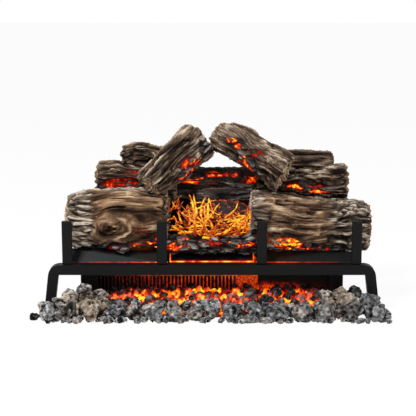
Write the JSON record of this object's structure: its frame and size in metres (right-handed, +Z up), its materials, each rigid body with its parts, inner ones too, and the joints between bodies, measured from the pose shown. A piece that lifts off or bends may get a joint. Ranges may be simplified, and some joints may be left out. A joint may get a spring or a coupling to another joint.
{
  "type": "electric fireplace log set",
  "caption": "Free-standing electric log set with a steel grate, glowing moulded logs and ember bed, loose hearth rocks, and a fan heater base behind.",
  "frame": {"origin": "on the floor, under the middle of the whole set", "axes": "+X is to the right of someone facing the set, +Y goes away from them, +Z is up"},
  "size_m": [0.68, 0.305, 0.343],
  "materials": {
    "black_steel": "satin black paint",
    "galvanised": "dull zinc",
    "amber_resin": "translucent, lit from behind",
    "smoked_window": "smoked",
    "black_plastic": "matte",
    "white_plastic": "matte",
    "heater_fins": "mill finish",
    "mirror_flag": "polished",
    "circuit_board": "green solder mask",
    "log_tan": "moulded wood grain, painted tan",
    "log_grey": "moulded bark, painted grey",
    "log_char": "moulded char, painted",
    "ember_resin": "translucent, lit from inside",
    "lava_rock": "porous"
  },
  "bodies": {
    "set": {"base_pan": "black_steel", "side_panel_left": "black_steel", "side_panel_right": "black_steel", "rear_panel": "black_steel", "top_deck": "black_steel", "outlet_grille": "black_steel", "light_panel": "amber_resin", "blank_panel": "black_steel", "receiver_window": "smoked_window", "cord_gland": "black_plastic", "apron_left": "black_steel", "apron_center": "black_steel", "apron_right": "black_steel", "rocker_bezel": "black_plastic", "fan_housing": "galvanised", "fan_motor": "galvanised", "air_duct": "galvanised", "heating_element": "heater_fins", "thermal_cutout": "white_plastic", "control_board": "circuit_board", "light_driver": "black_plastic", "projector_housing": "black_steel", "flame_window": "smoked_window", "spindle_bush": "white_plastic", "spindle_motor": "galvanised", "flame_light_board": "circuit_board", "log_light_board": "circuit_board", "ember_light_board": "circuit_board", "grate_rail": "black_steel", "grate_tie_left": "black_steel", "grate_tie_right": "black_steel", "grate_upright_1": "black_steel", "grate_upright_2": "black_steel", "grate_upright_3": "black_steel", "grate_upright_4": "black_steel", "log_front_left": "log_tan", "log_front_right": "log_tan", "log_center_char": "log_char", "log_center_cross": "log_char", "log_rear_center": "log_char", "log_rear_left": "log_grey", "log_rear_left_upper": "log_grey", "log_rear_right": "log_grey", "log_rear_right_upper": "log_grey", "log_top_left": "log_grey", "log_top_right": "log_grey", "ember_nest": "ember_resin", "ember_bed": "ember_resin", "rocks_left_end": "lava_rock", "rocks_left": "lava_rock", "rocks_right": "lava_rock", "rocks_right_end": "lava_rock", "rocks_front_far_left": "lava_rock", "rocks_front_middle_left": "lava_rock", "rocks_front_middle_right": "lava_rock", "rocks_front_far_right": "lava_rock"},
    "fan": {"fan_wheel": "black_plastic"},
    "spindle": {"flame_spindle": "mirror_flag"},
    "rocker": {"power_rocker": "black_plastic"}
  },
  "joints": [
    {"name": "fan_spin", "type": "hinge", "parent": "set", "child": "fan", "pos_m": [-0.1135, 0.0905, 0.056], "axis": [1, 0, 0], "continuous": true},
    {"name": "spindle_spin", "type": "hinge", "parent": "set", "child": "spindle", "pos_m": [0, 0.1125, 0.1463], "axis": [1, 0, 0], "continuous": true},
    {"name": "rocker_tilt", "type": "hinge", "parent": "set", "child": "rocker", "pos_m": [0.25092, 0.0175, 0.058], "axis": [0, 0, 1], "range_deg": [-9, 9]}
  ]
}
